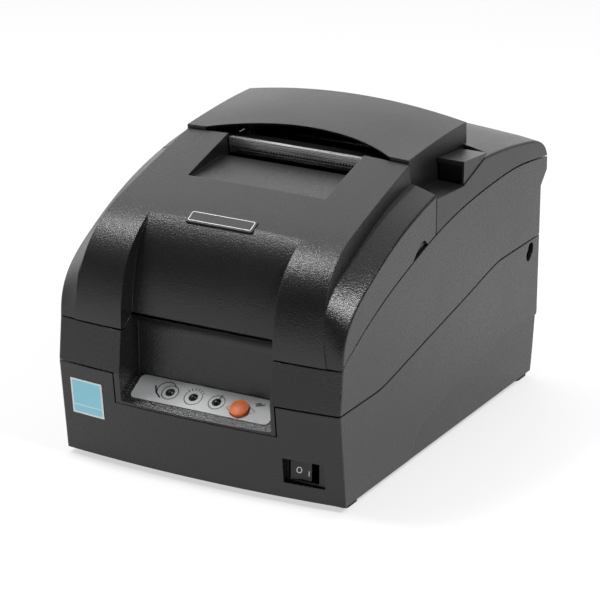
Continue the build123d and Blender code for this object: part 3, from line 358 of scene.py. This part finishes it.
def joined(parts):
    """One (points, faces) from several."""
    points, faces = [], []
    for some_points, some_faces in parts:
        start = len(points)
        points += some_points
        faces += [tuple(index + start for index in face) for face in some_faces]
    return points, faces


def band(line, width, closed=False):
    """A flat stroke of a given width along 2-D points, as (points, faces) with a thickness of INK."""
    count = len(line)
    left, right = [], []
    for index, (u, v) in enumerate(line):
        before = line[index - 1] if closed or index else line[index]
        after = line[(index + 1) % count] if closed or index < count - 1 else line[index]
        along = Vector((after[0] - before[0], after[1] - before[1])).normalized()
        side = Vector((-along.y, along.x)) * width / 2
        left.append((u + side.x, v + side.y))
        right.append((u - side.x, v - side.y))
    points = [(u, v, w) for w in (0.0, INK) for edge in (left, right) for u, v in edge]
    faces = []
    steps = count if closed else count - 1
    for index in range(steps):
        a, b = index, (index + 1) % count
        l0, l1, r0, r1 = a, b, count + a, count + b
        up = 2 * count
        faces += [(l0, l1, r1, r0), (l0 + up, r0 + up, r1 + up, l1 + up),
                  (l0, l0 + up, l1 + up, l1), (r0, r1, r1 + up, r0 + up)]
    if not closed:
        up = 2 * count
        end = count - 1
        faces += [(0, count, count + up, up), (end, end + up, count + end + up, count + end)]
    return points, faces


def patch(outline):
    """A flat filled shape from 2-D points, with a thickness of INK."""
    count = len(outline)
    points = [(u, v, w) for w in (0.0, INK) for u, v in outline]
    faces = [tuple(reversed(range(count))), tuple(range(count, 2 * count))]
    faces += [(i, (i + 1) % count, (i + 1) % count + count, i + count) for i in range(count)]
    return points, faces


def arc(centre, radius, start=0.0, end=360.0, steps=40, squash=1.0):
    """Points of a circle or arc; a whole circle leaves out its repeated last point."""
    whole = abs(end - start) >= 360
    count = steps if whole else steps + 1
    angles = [math.radians(start + (end - start) * step / steps) for step in range(count)]
    return [
        (centre[0] + radius * math.cos(a), centre[1] + radius * squash * math.sin(a)) for a in angles
    ]


def printed(name, parts, place, material, body):
    """A printed mark: flat parts in mm, set at a place in the frame."""
    points, faces = joined(parts)
    points = [place @ (Vector(point) * MM) for point in points]
    piece = mesh_piece(name, points, faces)
    piece.data.materials.append(material)
    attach(piece, body)
    return piece


def surface(node):
    mesh = nodes[node].data
    return BVHTree.FromPolygons([v.co for v in mesh.vertices], [p.vertices for p in mesh.polygons])


# ---- detail pieces ----
def tray_place():
    """Local u to the right, v up the slope from its upper edge, w out of the label."""
    turn = Matrix.Rotation(TRAY_ANGLE, 4, "X")
    foot = Vector((0, TRAY_FOOT[0] - Y_SHIFT, TRAY_FOOT[1])) * MM
    return Matrix.Translation(foot) @ turn @ Matrix.Translation((0, 0, (LABEL_TOP - SUNK) * MM))


def label_marks(looks):
    """Plain pictograms round the three lights and the button."""
    roll, fault, power, button = (-19.0, -8.2), (-6.0, -8.2), (7.0, -8.2), (20.5, -9.6)
    line = 0.5
    marks = [
        band(arc(roll, 4.3), line, True),
        band(arc((roll[0] - 2.6, roll[1] + 1.2), 4.9, 28, 250), line),
        band([(roll[0] - 9.4, roll[1] + 2.6), (roll[0] - 7.2, roll[1] - 1.4),
              (roll[0] - 3.6, roll[1] - 4.2)], 0.8),
        band(arc(fault, 4.6, 150, 390), line),
        band(arc(power, 4.2), line, True),
        band([(power[0] + 0.6, power[1] + 2.2), (power[0] + 1.0, power[1] + 5.2)], 0.7),
    ]
    for angle in range(40, 150, 20):
        across, along = math.cos(math.radians(angle)), math.sin(math.radians(angle))
        ray = [(fault[0] + r * across, fault[1] + r * along) for r in (4.2, 5.9)]
        marks.append(band(ray, 0.5))
    half = 6.6
    square = [(button[0] - half - 0.6, button[1] - 0.4), (button[0] - 1.6, button[1] + half - 0.4),
              (button[0] + half + 1.4, button[1] + 0.6), (button[0] + 1.4, button[1] - 5.2)]
    marks.append(band(square, line, True))
    arrow = [(0.0, 0.9), (-3.0, -0.4), (-1.3, -0.6), (-1.6, -1.7), (1.9, -0.5), (2.5, 0.6), (0.7, 0.0)]
    marks.append(patch([
        (button[0] + 8.6 + u * 1.15, button[1] + 5.6 + v * 1.15) for u, v in reversed(arrow)
    ]))
    printed("label_marks", marks, tray_place(), looks["ink"], "case")


def rocker_marks(looks):
    """The O and I of the power rocker, printed on its two faces."""
    low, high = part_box("power_rocker")
    middle = (low.z + high.z) / 2
    skin = surface("power_rocker")

    def face_place(x):
        """A place on the rocker's front at that x, u to the right, v up, w out."""
        start = Vector((x, low.y - 0.01, middle))
        spot, normal, _, _ = skin.ray_cast(start, Vector((0, 1, 0)))
        up = Vector((0, 0, 1))
        right = up.cross(normal).normalized()
        axes = Matrix((right, up, normal)).transposed().to_4x4()
        return Matrix.Translation(spot - normal * SUNK * MM) @ axes

    width = high.x - low.x
    ring = [band(arc((0, 0), 1.15, squash=1.25), 0.42, True)]
    bar = [band([(0, -2.3), (0, 0.4)], 0.45)]
    for name, parts, share in (("rocker_off_mark", ring, 0.37), ("rocker_on_mark", bar, 0.86)):
        printed(name, parts, face_place(low.x + width * share), looks["white_ink"], "rocker")


def lever_triangle_painted_shade(looks):
    """A small triangle on top of the cover lever: its shape is the real pressed mark, and its dark ink
    is painted shade standing in for the shade inside the pressing.
    """
    low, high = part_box("cover_lever")
    skin = surface("cover_lever")
    start = Vector((low.x + (high.x - low.x) * 0.42, low.y + 0.0075, high.z + 0.01))
    spot, normal, _, _ = skin.ray_cast(start, Vector((0, 0, -1)))
    ahead = Vector((0, 1, 0))
    right = ahead.cross(normal).normalized()
    axes = Matrix((right, normal.cross(right), normal)).transposed().to_4x4()
    place = Matrix.Translation(spot - normal * SUNK * MM) @ axes
    triangle = [(-1.5, -1.1), (0.0, 1.3), (1.5, -1.1)]
    # painted shade: flat dark ink in place of the shaded hollow of a pressed triangle
    printed("lever_triangle_painted_shade", [patch(triangle)], place, looks["ink"], "lever")


def draped(name, node, x_range, z_range, lift, material):
    """A thin film on the front of a CAD node, cut into strips that follow its curve."""
    skin = surface(node)
    columns, rows = 12, 3
    points = []
    for depth in (lift, lift + INK):
        for row in range(rows + 1):
            z = z_range[0] + (z_range[1] - z_range[0]) * row / rows
            for column in range(columns + 1):
                x = x_range[0] + (x_range[1] - x_range[0]) * column / columns
                spot = skin.ray_cast(Vector((x, -0.2, z)), Vector((0, 1, 0)))[0]
                points.append((spot.x, spot.y - depth * MM, spot.z))
    faces = []
    wide = columns + 1
    layer = wide * (rows + 1)
    for row in range(rows):
        for column in range(columns):
            a = row * wide + column
            b, c, d = a + 1, a + wide + 1, a + wide
            faces += [(a + layer, b + layer, c + layer, d + layer), (a, d, c, b)]
            if row == 0:
                faces.append((a, b, b + layer, a + layer))
            if row == rows - 1:
                faces.append((d, d + layer, c + layer, c))
            if column == 0:
                faces.append((a, a + layer, d + layer, d))
            if column == columns - 1:
                faces.append((b, c, c + layer, b + layer))
    piece = mesh_piece(name, points, faces)
    piece.data.materials.append(material)
    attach(piece, "case")


def sticker_print(looks):
    """The blue field of the blank front sticker, and a blue bar along its foot."""
    low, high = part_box("front_sticker")
    rim = 0.9 * MM
    foot = low.z + (high.z - low.z) * 0.24
    wide = (low.x + rim, high.x - rim)
    rows = (("sticker_field", (foot + rim * 0.6, high.z - rim)), ("sticker_bar", (low.z + rim, foot)))
    for name, tall in rows:
        draped(name, "front_sticker", wide, tall, -SUNK, looks["blue_ink"])


def badge_frame(looks):
    """A fine pale line inside the edge of the blank badge."""
    low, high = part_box("name_badge")
    centre = (low + high) / 2
    tilt = Matrix.Rotation(BADGE_TILT, 4, "X")
    place = Matrix.Translation(centre) @ tilt @ Matrix.Translation((0, 0, 0.595 * MM))
    half_u, half_v, corner = 17.2, 2.9, 0.8
    outline = []
    for sign_u, sign_v, start in ((1, 1, 0), (-1, 1, 90), (-1, -1, 180), (1, -1, 270)):
        middle = (sign_u * (half_u - corner), sign_v * (half_v - corner))
        outline += arc(middle, corner, start, start + 90, 6)
    frame_line = [band(outline, 0.35, True)]
    printed("badge_frame", frame_line, place, looks["white_ink"], "front_cover")


# ---- scene ----
make_camera()
make_studio()
looks = make_materials()
slots = {part["node"]: part["material_slot"] for part in frame["record"]["subparts"]}
for node_name, node_object in nodes.items():
    node_object.data.materials.clear()
    node_object.data.materials.append(looks[slots[node_name]])
label_marks(looks)
rocker_marks(looks)
lever_triangle_painted_shade(looks)
sticker_print(looks)
badge_frame(looks)
